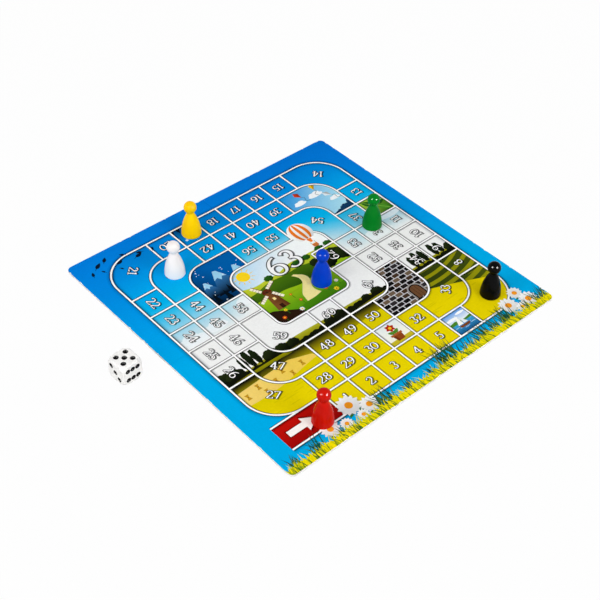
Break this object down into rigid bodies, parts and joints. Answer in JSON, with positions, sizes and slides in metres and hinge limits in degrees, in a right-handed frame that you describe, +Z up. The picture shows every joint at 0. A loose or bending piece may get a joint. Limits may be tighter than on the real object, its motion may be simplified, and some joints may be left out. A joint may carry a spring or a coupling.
{
  "type": "folding board game with pawns and die",
  "caption": "Square folding game board with a spiral numbered track, hinged at paper creases and slit at the back, with moulded pawns standing on it and a die beside it.",
  "frame": {"origin": "middle of the open board on its underside, on the table", "axes": "+X to the right along the board's front edge, +Y from the front edge to the back edge, +Z up from the table"},
  "size_m": [0.2397, 0.21, 0.0265],
  "materials": {
    "printed_sheet": "satin",
    "lining_paper": "matte",
    "greyboard": "matte",
    "plastic_red": "gloss",
    "plastic_yellow": "gloss",
    "plastic_green": "gloss",
    "plastic_blue": "gloss",
    "plastic_white": "gloss",
    "plastic_black": "gloss",
    "die_plastic": "gloss",
    "pip_paint": "satin"
  },
  "bodies": {
    "front_left": {"liner_front_left": "lining_paper", "core_front_left": "greyboard", "print_front_left": "printed_sheet", "front_crease": "printed_sheet", "left_crease": "lining_paper"},
    "front_right": {"liner_front_right": "lining_paper", "core_front_right": "greyboard", "print_front_right": "printed_sheet", "right_crease": "lining_paper"},
    "back_left": {"liner_back_left": "lining_paper", "core_back_left": "greyboard", "print_back_left": "printed_sheet"},
    "back_right": {"liner_back_right": "lining_paper", "core_back_right": "greyboard", "print_back_right": "printed_sheet"},
    "pawn_red": {"pawn_red": "plastic_red"},
    "pawn_yellow": {"pawn_yellow": "plastic_yellow"},
    "pawn_green": {"pawn_green": "plastic_green"},
    "pawn_blue": {"pawn_blue": "plastic_blue"},
    "pawn_white": {"pawn_white": "plastic_white"},
    "pawn_black": {"pawn_black": "plastic_black"},
    "die": {"die_body": "die_plastic", "die_pips": "pip_paint"}
  },
  "joints": [
    {"name": "centre_fold", "type": "hinge", "parent": "front_left", "child": "front_right", "pos_m": [0, -0.0525, 0.0016], "axis": [0, -1, 0], "range_deg": [0, 90], "deforming": ["front_crease"]},
    {"name": "left_fold", "type": "hinge", "parent": "front_left", "child": "back_left", "pos_m": [-0.0525, 0, -0.0001], "axis": [-1, 0, 0], "range_deg": [0, 180], "deforming": ["left_crease"]},
    {"name": "right_fold", "type": "hinge", "parent": "front_right", "child": "back_right", "pos_m": [0.0525, 0, -0.0001], "axis": [-1, 0, 0], "range_deg": [0, 180], "deforming": ["right_crease"]},
    {"name": "lift_pawn_red", "type": "slide", "parent": "front_left", "child": "pawn_red", "axis": [0, 0, 1], "range_m": [0, 0.04]},
    {"name": "lift_pawn_yellow", "type": "slide", "parent": "back_left", "child": "pawn_yellow", "axis": [0, 0, 1], "range_m": [0, 0.04]},
    {"name": "lift_pawn_green", "type": "slide", "parent": "back_right", "child": "pawn_green", "axis": [0, 0, 1], "range_m": [0, 0.04]},
    {"name": "lift_pawn_blue", "type": "slide", "parent": "front_right", "child": "pawn_blue", "axis": [0, 0, 1], "range_m": [0, 0.04]},
    {"name": "lift_pawn_white", "type": "slide", "parent": "back_left", "child": "pawn_white", "axis": [0, 0, 1], "range_m": [0, 0.04]},
    {"name": "lift_pawn_black", "type": "slide", "parent": "front_right", "child": "pawn_black", "axis": [0, 0, 1], "range_m": [0, 0.04]},
    {"name": "lift_die", "type": "slide", "parent": "front_left", "child": "die", "axis": [0, 0, 1], "range_m": [0, 0.04]}
  ]
}
